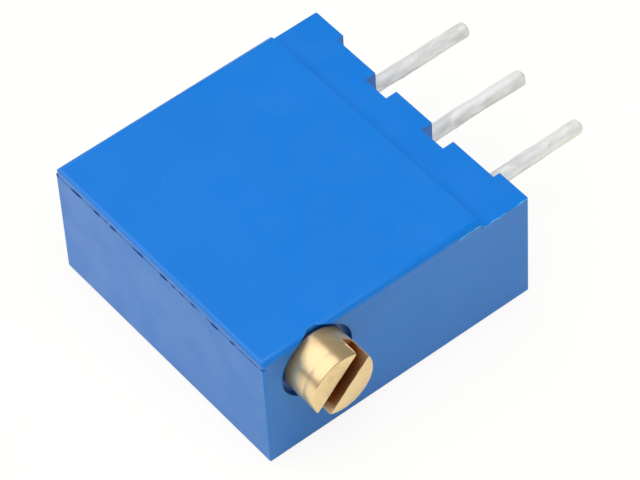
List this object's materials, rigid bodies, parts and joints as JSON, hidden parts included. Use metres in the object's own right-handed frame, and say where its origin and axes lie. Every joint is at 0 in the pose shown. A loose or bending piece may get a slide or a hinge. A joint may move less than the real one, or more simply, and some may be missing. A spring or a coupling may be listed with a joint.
{
  "type": "multi-turn trimmer potentiometer",
  "caption": "Square multi-turn trimmer with a slotted brass screw in its side, a worm-driven wiper inside and in-line pins.",
  "frame": {"origin": "centre of the body's lower large face, without the pins and the screw", "axes": "+Z across the body's thickness, +Y along the pins to their tips, +X along the adjusting screw to its slot"},
  "size_m": [0.0106, 0.0134, 0.0044],
  "materials": {
    "blue_moulding": "satin moulded thermoplastic with soft edges",
    "screw_brass": "turned brass, lightly tarnished",
    "seal_rubber": "moulded silicone rubber",
    "clip_steel": "stamped, deburred",
    "rotor_nylon": "natural moulded nylon",
    "spring_alloy": "rolled spring strip",
    "brush_alloy": "drawn contact wire",
    "alumina": "fired, matt",
    "cermet_ink": "fired thick film, semi-matt",
    "conductor_ink": "fired silver thick film",
    "tinned_wire": "hot-dip tinned, uneven",
    "solder": "reflowed, satin",
    "blue_resin": "cast sealing resin"
  },
  "bodies": {
    "body": {"housing": "blue_moulding", "cover_plate": "blue_moulding", "retaining_clip": "clip_steel", "ceramic_plate": "alumina", "resistive_track": "cermet_ink", "collector_print": "conductor_ink", "end_print_1": "conductor_ink", "end_print_3": "conductor_ink", "pin_1": "tinned_wire", "pin_2": "tinned_wire", "pin_3": "tinned_wire", "solder_joint_1": "solder", "solder_joint_2": "solder", "solder_joint_3": "solder", "end_seal": "blue_resin"},
    "screw": {"adjusting_screw": "screw_brass", "screw_seal_ring": "seal_rubber"},
    "rotor": {"rotor_wheel": "rotor_nylon", "wiper_spring": "spring_alloy", "wiper_brush": "brush_alloy"}
  },
  "joints": [
    {"name": "screw_turn", "type": "hinge", "parent": "body", "child": "screw", "pos_m": [0, -0.00293, 0.00317], "axis": [1, 0, 0], "range_deg": [-4500, 4500]},
    {"name": "rotor_turn", "type": "hinge", "parent": "body", "child": "rotor", "pos_m": [0, 0.00018, 0.00317], "axis": [0, 0, 1], "range_deg": [-136.4, 136.4]}
  ],
  "couplings": [
    {"joint": "rotor_turn", "follows": "screw_turn", "ratio": -0.030303}
  ]
}
